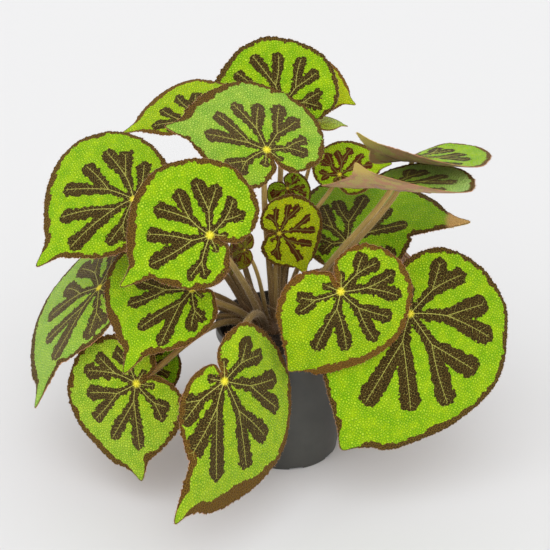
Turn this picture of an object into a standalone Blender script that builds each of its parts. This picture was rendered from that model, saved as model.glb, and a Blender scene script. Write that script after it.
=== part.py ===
"""A potted begonia with patterned leaves: a tapered plastic pot, the soil that fills it, one creeping
rhizome with all its leaf stalks, and a thin blade on the end of every stalk.
Metres, +Z up. The origin is the middle of the pot's flat underside."""

import bpy
import numpy as np

MM = 0.001
GAP = 0.0003

# Pot: a 12 cm nursery pot with a turned-out lip.
POT_HEIGHT = 0.122
BASE_RADIUS = 0.046
BODY_TOP_RADIUS = 0.0565
LIP_RADIUS = 0.060
LIP_HEIGHT = 0.010
WALL = 0.0016
FLOOR = 0.0022
POT_SEGMENTS = 48
DRAIN_HOLES = 6
DRAIN_RADIUS = 0.0048
DRAIN_CIRCLE = 0.033
NOTCHES = 8
NOTCH_WIDTH = 0.012
NOTCH_HEIGHT = 0.0017

# Soil: its edge lies below the lip and its middle is a little mounded.
SOIL_EDGE_HEIGHT = 0.108
SOIL_MOUND = 0.004
SOIL_LUMP = 0.0013
SOIL_SEGMENTS = 36

# Rhizome: a knobbly stem that creeps over the soil, half sunk in it.
RHIZOME_START = (-0.036, 0.005, 0.108)
RHIZOME_END = (0.018, -0.003, 0.121)
RHIZOME_RADIUS = 0.0115
RHIZOME_SIDES = 12
RHIZOME_RINGS = 11

# Stalks: round, thicker at the foot.
STALK_FOOT_RADIUS = 0.0029
STALK_TOP_RADIUS = 0.0021
STALK_SIDES = 6
STALK_STEPS = 9

# Blades.
BLADE_THICKNESS = 0.0008
EDGE_WAVE = 0.0008

# Edge of a blade: how far it reaches from the stalk, as a share of the length to the tip, along
# rays that turn from the tip, at 0 degrees, past the small side to the deep notch, and on round the
# lobe and the big side. DRAWN_OUT has a long narrow tip, and FULL is broad up to the tip.
EDGE_RAYS = (
    0, -5, -10, -20, -40, -60, -80, -100, -120, -125, -130, -140,
    -160, 180, 160, 140, 120, 100, 80, 60, 40, 20, 10, 5,
)
DRAWN_OUT = (
    1, .72, .67, .61, .55, .49, .41, .29, .20, .06, .20, .31,
    .44, .56, .63, .70, .74, .77, .82, .82, .80, .81, .83, .90,
)
FULL = (
    1, .90, .83, .74, .65, .55, .44, .29, .20, .06, .20, .30,
    .39, .48, .54, .60, .66, .69, .75, .77, .81, .90, .92, .95,
)
NOTCH = EDGE_RAYS.index(-125)

# Forms that the blades share. widths: small side, big side and back lobes, as shares of the edge
# above. full: from 0, drawn out, to 1, full, for the small and the big side. fold: degrees that each
# side bends up or, below 0, down. droop: bend of the tip. dome: bend of the edge, hollow below 0.
# points: corners of the edge.
GROWN = dict(widths=(1, 1, 1), full=(.3, .3), fold=(-5, -5), droop=.08, dome=.05, points=60)
BROAD = dict(widths=(1, 1, 1), full=(1, 1), fold=(-5, -10), droop=.08, dome=.05, points=60)
ROLLED = dict(widths=(.6, 1.1, .9), full=(-.5, .7), fold=(-15, -35), droop=.02, dome=.05, points=60)
DISHED = dict(widths=(1, .9, 1.1), full=(.5, .3), fold=(-10, 0), droop=-.3, dome=-.08, points=60)
YOUNG = dict(widths=(1, 1, 1), full=(.4, .4), fold=(-8, -8), droop=.08, dome=.05, points=40)
TINY = dict(widths=(1, 1, 1), full=(.4, .4), fold=(-10, -10), droop=.08, dome=.05, points=32)

# One row for each leaf, in millimetres and degrees.
# at: where the stalk meets the blade. length: from there to the tip.
# faces: compass way that the upper side looks, 0 for -Y and 90 for +X. lean: 0 level, 90 upright.
# turn: swing of the tip from the steepest way down. side: +1 or -1, which side is the big one.
# bow: sideways bend of the stalk. arrive: how squarely the stalk meets the blade.
LEAVES = (
    dict(GROWN, name="leaf_left_upper", at=(-121, -20, 241), length=92, faces=-10, lean=40, turn=-50,
         side=1, widths=(.8, 1.1, .7), full=(.5, 0), bow=(0, 55, 0)),
    dict(GROWN, name="leaf_left_front", at=(-58, -75, 234), length=78, faces=0, lean=65, turn=-60,
         side=1, widths=(1, 1, .95), full=(0, 0), bow=(2, -4, 2)),
    dict(GROWN, name="leaf_left_middle", at=(-75, -50, 177), length=84, faces=-10, lean=35, turn=-30,
         side=1, widths=(.85, 1.1, 1), full=(.3, 0)),
    dict(GROWN, name="leaf_far_left", at=(-155, -14, 160), length=108, faces=-65, lean=40, turn=20,
         side=1, widths=(.9, 1, 1), full=(-.3, .3)),
    dict(GROWN, name="leaf_low_left", at=(-120, -75, 105), length=82, faces=-15, lean=70, turn=5,
         side=1, widths=(1, 1, .85), full=(.5, .6), bow=(0, 0, 8)),
    dict(YOUNG, name="leaf_low_left_rear", at=(-123, -42, 104), length=45, faces=0, lean=65, turn=10,
         side=-1, bow=(0, 0, 14)),
    dict(ROLLED, name="leaf_low_front", at=(-47, -119, 134), length=108, faces=25, lean=50, turn=-35,
         side=-1, bow=(0, 0, 26)),
    dict(BROAD, name="leaf_right_front", at=(40, -85, 192), length=78, faces=0, lean=80, turn=-30,
         side=-1, widths=(1, 1.05, 1.1)),
    dict(BROAD, name="leaf_right_large", at=(97, -60, 160), length=120, faces=10, lean=65, turn=-30,
         side=-1, widths=(1, 1.05, 1), fold=(-5, -5)),
    dict(GROWN, name="leaf_top_front", at=(-16, 0, 275), length=83, faces=25, lean=40, turn=-110,
         side=1, droop=-.05, dome=-.05),
    dict(GROWN, name="leaf_top_rear", at=(-3, 68, 290), length=75, faces=0, lean=60, turn=-85,
         side=1, widths=(1, 1.05, 1.1), full=(.3, .2)),
    dict(GROWN, name="leaf_top_left", at=(-74, 40, 285), length=65, faces=-15, lean=35, turn=-80,
         side=1, widths=(.35, 1, 1)),
    dict(YOUNG, name="leaf_young_top", at=(18, 96, 298), length=45, faces=10, lean=50, turn=70,
         side=-1, bow=(-5, 0, 0)),
    dict(TINY, name="leaf_young_top_small", at=(29, 85, 270), length=25, faces=10, lean=15, turn=85,
         side=-1, widths=(.8, .9, 1), bow=(-8, 14, 0)),
    dict(YOUNG, name="leaf_young_right", at=(46, 60, 232), length=46, faces=-10, lean=45, turn=110,
         side=-1, widths=(1, 1, .9), full=(.4, .9), bow=(-32, 0, 10)),
    dict(DISHED, name="leaf_right_high", at=(105, 32, 257), length=90, faces=195, lean=10, turn=130,
         side=-1, widths=(.6, .9, 1.2), full=(0, .3), fold=(-15, -5), bow=(-8, -26, 4)),
    dict(DISHED, name="leaf_right_level", at=(84, -20, 254), length=90, faces=170, lean=5, turn=165,
         side=-1, widths=(1.2, .9, 1.1), dome=-.12, bow=(-6, 0, 0), arrive=.2),
    dict(GROWN, name="leaf_right_middle", at=(52, 30, 181), length=108, faces=-10, lean=35, turn=110,
         side=-1, widths=(.9, 1, .6), full=(-1, .5), fold=(-8, -12)),
    dict(YOUNG, name="leaf_young_centre", at=(-6, -5, 205), length=45, faces=15, lean=80, turn=30,
         side=-1, widths=(1, 1.1, 1)),
    dict(YOUNG, name="leaf_young_rear", at=(1, 27, 232), length=30, faces=20, lean=60, turn=-35,
         side=-1, widths=(1.1, 1, 1)),
    dict(TINY, name="leaf_bud", at=(-34, -20, 197), length=24, faces=-40, lean=60, turn=-15, side=1),
    dict(GROWN, name="leaf_back_left", at=(-94, 84, 210), length=84, faces=200, lean=45, turn=-20,
         side=1),
    dict(GROWN, name="leaf_back_right", at=(104, 84, 150), length=70, faces=120, lean=50, turn=-25,
         side=1),
    dict(GROWN, name="leaf_back_middle", at=(28, 114, 168), length=60, faces=180, lean=60, turn=10,
         side=-1),
    dict(GROWN, name="leaf_back_low_left", at=(-106, 58, 138), length=78, faces=225, lean=55, turn=10,
         side=1),
    dict(GROWN, name="leaf_back_low_right", at=(62, 80, 108), length=70, faces=160, lean=60, turn=-10,
         side=-1, bow=(0, 0, 26)),
)

# Papery scales that once wrapped the leaf buds: foot on the rhizome and tip, in millimetres.
SCALES = (
    ((-28, 0, 112), (-37, -18, 150)),
    ((-20, 6, 114), (-34, 10, 158)),
    ((-6, -3, 117), (-16, -22, 148)),
    ((7, 3, 120), (22, 14, 152)),
    ((11, -4, 119), (26, -14, 143)),
)
SCALE_WIDTH = 7.0
SCALE_THICKNESS = 1.4


def clear_scene():
    for thing in list(bpy.data.objects):
        bpy.data.objects.remove(thing)


def principled(name, colour, roughness):
    material = bpy.data.materials.new(name)
    material.use_nodes = True
    shader = material.node_tree.nodes["Principled BSDF"]
    shader.inputs["Base Color"].default_value = (*colour, 1)
    shader.inputs["Roughness"].default_value = roughness
    material.diffuse_color = (*colour, 1)
    return material


def add_object(name, points, faces, material):
    mesh = bpy.data.meshes.new(name)
    mesh.from_pydata([tuple(p) for p in points], [], [tuple(int(i) for i in f) for f in faces])
    mesh.update()
    thing = bpy.data.objects.new(name, mesh)
    bpy.context.scene.collection.objects.link(thing)
    if material:
        mesh.materials.append(material)
    return thing


def join_or_cut(thing, others, operation, solver="MANIFOLD"):
    """One Boolean with all the others, applied, after which the others are removed."""
    group = bpy.data.collections.new(thing.name + "_others")
    bpy.context.scene.collection.children.link(group)
    for other in others:
        bpy.context.scene.collection.objects.unlink(other)
        group.objects.link(other)
    modifier = thing.modifiers.new("boolean", "BOOLEAN")
    modifier.operation = operation
    modifier.solver = solver
    modifier.operand_type = "COLLECTION"
    modifier.collection = group
    graph = bpy.context.evaluated_depsgraph_get()
    result = bpy.data.meshes.new_from_object(thing.evaluated_get(graph))
    thing.modifiers.clear()
    thing.data = result
    for other in others:
        bpy.data.objects.remove(other)
    bpy.data.collections.remove(group)


def lathe(profile, segments):
    """Points and faces of a closed profile of (radius, height) turned about Z.
    A profile point with radius 0 is one point on the axis."""
    angles = np.arange(segments) / segments * 2 * np.pi
    points = []
    rows = []
    for radius, height in profile:
        if radius == 0:
            rows.append([len(points)] * segments)
            points.append((0, 0, height))
        else:
            rows.append(list(range(len(points), len(points) + segments)))
            points += [(radius * np.cos(a), radius * np.sin(a), height) for a in angles]
    faces = []
    for low, high in zip(rows, rows[1:]):
        for i in range(segments):
            j = (i + 1) % segments
            ring = [low[i], low[j], high[j], high[i]]
            face = [v for k, v in enumerate(ring) if v != ring[k - 1]]
            faces.append(face)
    return points, faces


def tube(path, radii, sides, last_plane=None):
    """A closed tube along the path. Its last ring can be slid into a plane with the given normal."""
    path = np.asarray(path, float)
    tangents = np.gradient(path, axis=0)
    tangents /= np.linalg.norm(tangents, axis=1)[:, None]
    across = np.cross(tangents[0], (1, 0, .2))
    angles = np.arange(sides) / sides * 2 * np.pi
    points = []
    for i, (middle, tangent, radius) in enumerate(zip(path, tangents, radii)):
        across = across - tangent * (across @ tangent)
        across /= np.linalg.norm(across)
        other = np.cross(tangent, across)
        ring = middle + radius * (np.cos(angles)[:, None] * across + np.sin(angles)[:, None] * other)
        if i == len(path) - 1 and last_plane is not None:
            slide = ((middle - ring) @ last_plane) / (tangent @ last_plane)
            ring = ring + slide[:, None] * tangent
        points.append(ring)
    points = np.vstack(points)
    faces = []
    for i in range(len(path) - 1):
        for j in range(sides):
            a = i * sides + j
            b = i * sides + (j + 1) % sides
            faces.append((a, b, b + sides, a + sides))
    faces.append(tuple(range(sides))[::-1])
    faces.append(tuple(range((len(path) - 1) * sides, len(path) * sides)))
    return points, faces


def box_points(centre, along, out, size):
    """Eight corners and six faces of a box with its length along one way and its depth along out."""
    up = np.cross(along, out)
    points = []
    for a in (-1, 1):
        for b in (-1, 1):
            for c in (-1, 1):
                points.append(centre + a * size[0] / 2 * along + b * size[1] / 2 * out + c * size[2] / 2 * up)
    faces = [(0, 1, 3, 2), (4, 6, 7, 5), (0, 4, 5, 1), (2, 3, 7, 6), (0, 2, 6, 4), (1, 5, 7, 3)]
    return points, faces


def make_pot():
    lip_low = POT_HEIGHT - LIP_HEIGHT
    inner_low = BASE_RADIUS - WALL
    inner_top = LIP_RADIUS - WALL - 0.0006
    profile = [
        (0, 0),
        (BASE_RADIUS - 0.0008, 0),
        (BASE_RADIUS, 0.0008),
        (BODY_TOP_RADIUS, lip_low - 0.0012),
        (LIP_RADIUS - 0.0008, lip_low),
        (LIP_RADIUS, lip_low + 0.0008),
        (LIP_RADIUS + 0.0003, POT_HEIGHT - 0.0012),
        (LIP_RADIUS - 0.0004, POT_HEIGHT),
        (inner_top, POT_HEIGHT),
        (inner_top - 0.0006, POT_HEIGHT - 0.0012),
        (BODY_TOP_RADIUS - WALL + 0.0012, lip_low + 0.0014),
        (BODY_TOP_RADIUS - WALL, lip_low - 0.0016),
        (inner_low, FLOOR),
        (0, FLOOR),
    ]
    points, faces = lathe(profile, POT_SEGMENTS)
    pot = add_object("pot", points, faces, principled("dark_plastic", (.055, .056, .050), .42))
    cutters = []
    for i in range(DRAIN_HOLES):
        angle = (i + .5) / DRAIN_HOLES * 2 * np.pi
        middle = np.array((np.cos(angle), np.sin(angle), 0)) * DRAIN_CIRCLE
        path = [middle + (0, 0, -0.002), middle + (0, 0, 0.006)]
        cutters.append(add_object("drain", *tube(path, [DRAIN_RADIUS] * 2, 12), None))
    for i in range(NOTCHES):
        angle = (i + .25) / NOTCHES * 2 * np.pi
        out = np.array((np.cos(angle), np.sin(angle), 0))
        along = np.array((-np.sin(angle), np.cos(angle), 0))
        # The box reaches from below the foot to the notch's height and past the wall.
        middle = out * (BASE_RADIUS - 0.0001) + np.array((0, 0, NOTCH_HEIGHT - 0.003))
        size = (NOTCH_WIDTH, 0.0042, 0.006)
        cutters.append(add_object("notch", *box_points(middle, along, out, size), None))
    join_or_cut(pot, cutters, "DIFFERENCE", "EXACT")
    return pot


def soil_height(x, y):
    """Height of the soil's surface, mounded in the middle and gently uneven."""
    share = np.hypot(x, y) / BODY_TOP_RADIUS
    wave = np.sin(x * 190 + 1.3) * np.cos(y * 160 + .4) + .6 * np.sin(x * 410 + y * 330)
    return SOIL_EDGE_HEIGHT + SOIL_MOUND * (1 - share ** 2) + .45 * SOIL_LUMP * wave


def make_soil(hole):
    rng = np.random.default_rng(11)
    slope = (BODY_TOP_RADIUS - BASE_RADIUS) / (POT_HEIGHT - LIP_HEIGHT)
    bottom = FLOOR + GAP
    low_radius = BASE_RADIUS - WALL - 0.0006
    high_radius = BASE_RADIUS - WALL - 0.0006 + slope * (SOIL_EDGE_HEIGHT - bottom)
    angles = np.arange(SOIL_SEGMENTS) / SOIL_SEGMENTS * 2 * np.pi
    points = [(0, 0, bottom)]
    for radius, height in ((low_radius, bottom), (high_radius, SOIL_EDGE_HEIGHT)):
        points += [(radius * np.cos(a), radius * np.sin(a), height) for a in angles]
    for share in (.86, .70, .54, .38, .20):
        for a in angles:
            radius = high_radius * share
            x, y = radius * np.cos(a), radius * np.sin(a)
            points.append((x, y, soil_height(x, y) + rng.uniform(-.5, .5) * SOIL_LUMP))
    points.append((0, 0, soil_height(0, 0)))
    faces = []
    n = SOIL_SEGMENTS
    for i in range(n):
        j = (i + 1) % n
        faces.append((0, 1 + j, 1 + i))
        for ring in range(6):
            a, b = 1 + ring * n + i, 1 + ring * n + j
            faces.append((a, b, b + n))
            faces.append((a, b + n, a + n))
        last = 1 + 6 * n
        faces.append((last + i, last + j, len(points) - 1))
    soil = add_object("soil", points, faces, principled("dark_peat", (.028, .020, .014), .95))
    join_or_cut(soil, [hole], "DIFFERENCE", "EXACT")
    return soil


def rhizome_mesh(grow=0.0):
    """The creeping stem: a short curved body, swollen between the rings of old leaf scars."""
    start, end = np.array(RHIZOME_START), np.array(RHIZOME_END)
    path = []
    radii = []
    for i in range(RHIZOME_RINGS):
        t = i / (RHIZOME_RINGS - 1)
        sag = np.array((0, .002 * np.sin(3 * t), -.0015 * np.sin(np.pi * t)))
        path.append(start + (end - start) * t + sag)
        taper = min(1, 2.6 * np.sqrt(max(.03, min(t, 1 - t))))
        swell = 1 + (.07 if i % 2 else -.05)
        radii.append(RHIZOME_RADIUS * taper * swell + grow)
    if grow:
        way = (end - start) / np.linalg.norm(end - start)
        path[0] = path[0] - way * grow
        path[-1] = path[-1] + way * grow
    return tube(path, radii, RHIZOME_SIDES)


def leaf_axes(leaf):
    """Unit vectors of a blade: out of its upper side, towards its tip, and towards its big side."""
    faces, lean, turn = np.radians((leaf["faces"], leaf["lean"], leaf["turn"]))
    upper = np.array((np.sin(lean) * np.sin(faces), -np.sin(lean) * np.cos(faces), np.cos(lean)))
    down = np.array((np.cos(lean) * np.sin(faces), -np.cos(lean) * np.cos(faces), -np.sin(lean)))
    tip = down * np.cos(turn) + np.cross(upper, down) * np.sin(turn)
    return upper, tip, np.cross(tip, upper) * leaf["side"]


def smooth_loop(points, steps):
    """A closed curve through the points, with the given number of steps between them."""
    curve = []
    count = len(points)
    for i in range(count):
        before, here = points[i - 1], points[i]
        after, later = points[(i + 1) % count], points[(i + 2) % count]
        for t in np.arange(steps) / steps:
            bend = 2 * before - 5 * here + 4 * after - later
            twist = -before + 3 * here - 3 * after + later
            curve.append(.5 * (2 * here + (after - before) * t + bend * t * t + twist * t ** 3))
    return np.array(curve)


def evenly(path, count):
    """Points at equal steps along an open path, without its last point."""
    lengths = np.r_[0, np.cumsum(np.linalg.norm(np.diff(path, axis=0), axis=1))]
    wanted = np.linspace(0, lengths[-1], count + 1)[:-1]
    return np.stack([np.interp(wanted, lengths, path[:, k]) for k in range(2)], 1)


def blade_edge(leaf):
    """Corner points of the blade's waved edge, flat, and the place of the notch in them."""
    steps = 6
    small, big, lobes = leaf["widths"]
    rays = np.radians(EDGE_RAYS)
    share = np.where(np.arange(len(rays)) <= NOTCH, leaf["full"][0], leaf["full"][1])
    reach = np.array(DRAWN_OUT) * (1 - share) + np.array(FULL) * share
    outline = np.stack([reach * np.cos(rays), reach * np.sin(rays)], 1)
    outline[:, 0] = np.where(outline[:, 0] < 0, outline[:, 0] * lobes, outline[:, 0])
    outline[:, 1] *= np.where(outline[:, 1] < 0, small, big)
    curve = smooth_loop(outline, steps)
    on_small_side = leaf["points"] // 3 // 4 * 4
    first = evenly(curve[:NOTCH * steps + 1], on_small_side)
    second = evenly(np.vstack([curve[NOTCH * steps:], curve[:1]]), leaf["points"] - on_small_side)
    edge = np.vstack([first, second])
    along = np.roll(edge, -1, 0) - np.roll(edge, 1, 0)
    out = np.stack([along[:, 1], -along[:, 0]], 1)
    out /= np.linalg.norm(out, axis=1)[:, None]
    if ((out * edge).sum(1) > 0).mean() < .5:
        out = -out
    wave = np.where(np.arange(len(edge)) % 2 == 0, 1, -1) * EDGE_WAVE / (leaf["length"] * MM)
    wave[[0, 1, -1]] = 0
    wave[on_small_side - 2:on_small_side + 3] = 0
    return edge + out * wave[:, None]


def bent(flat, leaf):
    """Places flat points of a blade in the room, folded along the midrib, drooping and domed."""
    upper, tip, big = leaf_axes(leaf)
    x, y = flat[:, 0], flat[:, 1]
    fold = np.radians(np.where(y < 0, leaf["fold"][0], leaf["fold"][1]))
    rise = (np.sqrt(y * y + .0036) - .06) * np.sin(fold)
    rise = rise - leaf["droop"] * np.clip(x, 0, None) ** 2 - leaf["dome"] * (x * x + y * y)
    shape = x[:, None] * tip + (y * np.cos(fold))[:, None] * big + rise[:, None] * upper
    return np.array(leaf["at"]) * MM + leaf["length"] * MM * shape


def blade_mesh(leaf):
    """A blade as rings of points about the stalk's end, with the same triangles on both faces."""
    edge = blade_edge(leaf)
    count = len(edge)
    quarter = count // 4
    flat = np.vstack([np.zeros((1, 2)), edge[::4] * .33, edge[::2] * .67, edge])
    triangles = [(0, 1 + j, 1 + (j + 1) % quarter) for j in range(quarter)]
    for start, number in ((1, quarter), (1 + quarter, 2 * quarter)):
        outer = start + number
        for j in range(number):
            a, b = start + j, start + (j + 1) % number
            c, d, e = outer + 2 * j, outer + 2 * j + 1, outer + (2 * j + 2) % (2 * number)
            triangles += [(a, c, d), (a, d, b), (b, d, e)]
    triangles = np.array(triangles)
    top = bent(flat, leaf)
    upper = leaf_axes(leaf)[0]
    normals = np.cross(top[triangles[:, 1]] - top[triangles[:, 0]], top[triangles[:, 2]] - top[triangles[:, 0]])
    turned = normals.sum(0) @ upper < 0
    if turned:
        triangles = triangles[:, ::-1]
    size = len(flat)
    faces = [tuple(t) for t in triangles] + [tuple(t[::-1] + size) for t in triangles]
    rim = size - count
    for j in range(count):
        a, b = rim + j, rim + (j + 1) % count
        if turned:
            a, b = b, a
        faces += [(b, a, a + size), (b, a + size, b + size)]
    return np.vstack([top, top - upper * BLADE_THICKNESS]), faces


def stalk_foot(leaf):
    """Where a stalk leaves the rhizome: towards its own side of the plant."""
    x, y, z = leaf["at"]
    start, end = np.array(RHIZOME_START) / MM, np.array(RHIZOME_END) / MM
    foot_x = np.clip(.18 * x - 8, -27, 10)
    share = (foot_x - start[0]) / (end[0] - start[0])
    return np.array((foot_x, start[1] * (1 - share) + np.clip(.08 * y, -5, 5), start[2] + (end[2] - start[2]) * share))


def stalk_mesh(leaf):
    """A stalk from inside the rhizome to just under its blade, its end cut parallel to the blade."""
    upper = leaf_axes(leaf)[0]
    dip = STALK_TOP_RADIUS * np.sin(np.radians(max(0, -min(leaf["fold"]))))
    end = np.array(leaf["at"]) * MM - upper * (BLADE_THICKNESS + GAP + dip)
    start = stalk_foot(leaf) * MM
    chord = end - start
    reach = np.linalg.norm(chord)
    leave = chord * (1, 1, 0) / reach * .8 + (0, 0, 1)
    leave /= np.linalg.norm(leave)
    square = leaf.get("arrive", .55)
    arrive = square * upper + (1.15 - square) * chord / reach
    arrive /= np.linalg.norm(arrive)
    bow = np.array(leaf.get("bow", (0, 0, 0))) * MM
    corners = (start, start + leave * reach * .45 + bow, end - arrive * reach * .33 + bow * .3, end)
    t = np.linspace(0, 1, STALK_STEPS + 1)[:, None]
    path = ((1 - t) ** 3 * corners[0] + 3 * (1 - t) ** 2 * t * corners[1]
            + 3 * (1 - t) * t * t * corners[2] + t ** 3 * corners[3])
    scale = .55 + .45 * min(1, leaf["length"] / 80)
    radii = np.linspace(STALK_FOOT_RADIUS, STALK_TOP_RADIUS, STALK_STEPS + 1) * scale
    return tube(path, radii, STALK_SIDES, upper)


def scale_mesh(foot, tip):
    """A papery scale: a narrow curved strip that ends in a point."""
    foot, tip = np.array(foot) * MM, np.array(tip) * MM
    grow = tip - foot
    side = np.cross(grow, (0, 0, 1))
    side /= np.linalg.norm(side)
    out = np.cross(side, grow)
    out /= np.linalg.norm(out)
    points = []
    steps = 5
    for i in range(steps):
        t = i / (steps - .6)
        width = SCALE_WIDTH * MM * (1 - t ** 1.6)
        middle = foot + grow * t + out * .004 * np.sin(np.pi * t)
        for a, b in ((-.5, -.5), (-.5, .5), (.5, .5), (.5, -.5)):
            hollow = -out * .12 * width
            points.append(middle + side * a * width + out * b * SCALE_THICKNESS * MM + hollow)
    points.append(tip)
    faces = [(3, 2, 1, 0)]
    for i in range(steps - 1):
        for j in range(4):
            a, b = 4 * i + j, 4 * i + (j + 1) % 4
            faces.append((a, b, b + 4, a + 4))
    for j in range(4):
        faces.append((4 * (steps - 1) + j, 4 * (steps - 1) + (j + 1) % 4, len(points) - 1))
    return np.array(points), faces


clear_scene()
make_pot()
make_soil(add_object("rhizome_hole", *rhizome_mesh(grow=0.0006), None))

plant_colour = principled("red_brown_stalk", (.26, .10, .045), .6)
rhizome = add_object("rhizome_and_stalks", *rhizome_mesh(), plant_colour)
grown = []
for leaf in LEAVES:
    grown.append(add_object("stalk", *stalk_mesh(leaf), plant_colour))
for foot, tip in SCALES:
    grown.append(add_object("scale", *scale_mesh(foot, tip), plant_colour))
join_or_cut(rhizome, grown, "UNION")

for leaf in LEAVES:
    young = leaf["length"] < 50
    colour = (.40, .52, .035) if young else (.22, .50, .03)
    add_object(leaf["name"], *blade_mesh(leaf), principled(leaf["name"] + "_green", colour, .5))
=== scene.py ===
"""Looks of a potted begonia with patterned leaves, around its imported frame. Metres, +Z up."""

import bpy
import numpy as np
from mathutils import Euler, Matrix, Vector
from mathutils.geometry import delaunay_2d_cdt


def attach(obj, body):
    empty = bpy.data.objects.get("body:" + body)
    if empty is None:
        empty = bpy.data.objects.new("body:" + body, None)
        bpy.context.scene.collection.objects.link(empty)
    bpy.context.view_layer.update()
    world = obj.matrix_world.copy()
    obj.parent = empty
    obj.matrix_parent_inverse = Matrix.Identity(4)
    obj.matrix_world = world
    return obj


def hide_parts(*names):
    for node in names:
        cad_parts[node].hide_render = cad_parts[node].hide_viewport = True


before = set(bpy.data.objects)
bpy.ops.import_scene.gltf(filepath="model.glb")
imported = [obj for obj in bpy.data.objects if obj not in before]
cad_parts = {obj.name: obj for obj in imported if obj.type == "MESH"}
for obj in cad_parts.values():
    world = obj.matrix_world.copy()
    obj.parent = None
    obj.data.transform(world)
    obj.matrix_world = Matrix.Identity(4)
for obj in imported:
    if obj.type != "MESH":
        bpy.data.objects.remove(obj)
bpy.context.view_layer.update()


# Studio. A pale sweep of paper carries the pot. A wide soft key light from the upper left front, a
# weaker one from the right and an even white surround light it, as for a catalogue picture. The
# camera stands 0.8 m in front and looks 26 degrees down.
def put(name, data):
    """Adds an object with this data to the scene."""
    added = bpy.data.objects.new(name, data)
    bpy.context.scene.collection.objects.link(added)
    return added


def soft_sun(name, strength, spread, tilt):
    light = bpy.data.lights.new(name, "SUN")
    light.energy = strength
    light.angle = np.radians(spread)
    put(name, light).rotation_euler = Euler(np.radians(tilt))


def feed(tree, target, inputs):
    """Sets a node's inputs, each to a value or to another node's output."""
    for key, value in inputs.items():
        if hasattr(value, "is_output"):
            tree.links.new(value, target.inputs[key])
        else:
            target.inputs[key].default_value = value


def principled(name, colour, roughness):
    """A new material with its shader's plain values set. Returns the material, tree and shader."""
    material = bpy.data.materials.new(name)
    material.use_nodes = True
    tree = material.node_tree
    shader = tree.nodes["Principled BSDF"]
    feed(tree, shader, {"Base Color": (*colour, 1), "Roughness": roughness})
    return material, tree, shader


camera_data = bpy.data.cameras.new("camera")
camera_data.lens = 69.5
camera_data.sensor_width = 36
camera_data.clip_end = 30
camera = put("camera", camera_data)
camera.location = (-.0095, -.80, .550)
camera.rotation_euler = Euler(np.radians((64.3, 0, 0)))
bpy.context.scene.camera = camera
bpy.context.scene.view_settings.view_transform = "Standard"

soft_sun("key light", 1.35, 75, (36, -20, 0))
soft_sun("fill light", .65, 80, (50, 40, 0))
surround = bpy.data.worlds.new("surround")
bpy.context.scene.world = surround
surround.use_nodes = True
sky = surround.node_tree.nodes["Background"]
feed(surround.node_tree, sky, {"Color": (1, 1, 1, 1), "Strength": .88})

PAPER_HALF = 9
corners = [(x * PAPER_HALF, y * PAPER_HALF, 0) for x, y in ((-1, -1), (1, -1), (1, 1), (-1, 1))]
floor_mesh = bpy.data.meshes.new("floor")
floor_mesh.from_pydata(corners, [], [(0, 1, 2, 3)])
floor_mesh.materials.append(principled("pale_paper", (.67, .67, .675), .9)[0])
floor = put("floor", floor_mesh)


# Pot. A thin-walled nursery pot, injection moulded in dark grey plastic with a satin skin: a tapered
# wall, a turned-out lip with a small bead on its foot, drain holes in the floor and eight low foot
# notches. Its inside is bare down to the soil.
POT_HEIGHT = .122
POT_BASE_RADIUS = .046
POT_TOP_RADIUS = .0565
LIP_RADIUS = .060
LIP_HEIGHT = .010
POT_WALL = .0016
POT_FLOOR = .0022
POT_SEGMENTS = 160
DRAIN_HOLES = 6
DRAIN_RADIUS = .0048
DRAIN_CIRCLE = .033
NOTCHES = 8
NOTCH_SIZE = (.012, .0042, .006)
NOTCH_HEIGHT = .0017


def add_piece(name, points, faces):
    mesh = bpy.data.meshes.new(name)
    mesh.from_pydata([tuple(map(float, p)) for p in points], [],
                     [tuple(int(i) for i in f) for f in faces])
    mesh.polygons.foreach_set("use_smooth", [True] * len(mesh.polygons))
    mesh.update()
    return put(name, mesh)


def node(tree, kind, inputs=None, **settings):
    """Adds a node, sets its own settings and then its inputs."""
    added = tree.nodes.new(kind)
    for key, value in settings.items():
        setattr(added, key, value)
    feed(tree, added, inputs or {})
    return added


def noise(tree, place, scale, detail, roughness=.5):
    return node(tree, "ShaderNodeTexNoise", {"Vector": place, "Scale": scale, "Detail": detail,
                                             "Roughness": roughness}).outputs["Fac"]


def ramped(tree, share, low, high, middle=None):
    """A colour ramp's output. Each stop is a position and a colour."""
    ramp = node(tree, "ShaderNodeValToRGB", {"Fac": share})
    stops = ramp.color_ramp.elements
    for stop, (position, colour) in zip(stops, (low, high)):
        stop.position = position
        stop.color = (*colour, 1)
    if middle:
        stops.new(middle[0]).color = (*middle[1], 1)
    return ramp.outputs["Color"]


def bump(tree, strength, distance, height, **settings):
    return node(tree, "ShaderNodeBump", {"Strength": strength, "Distance": distance, "Height": height},
                **settings).outputs["Normal"]


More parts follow.
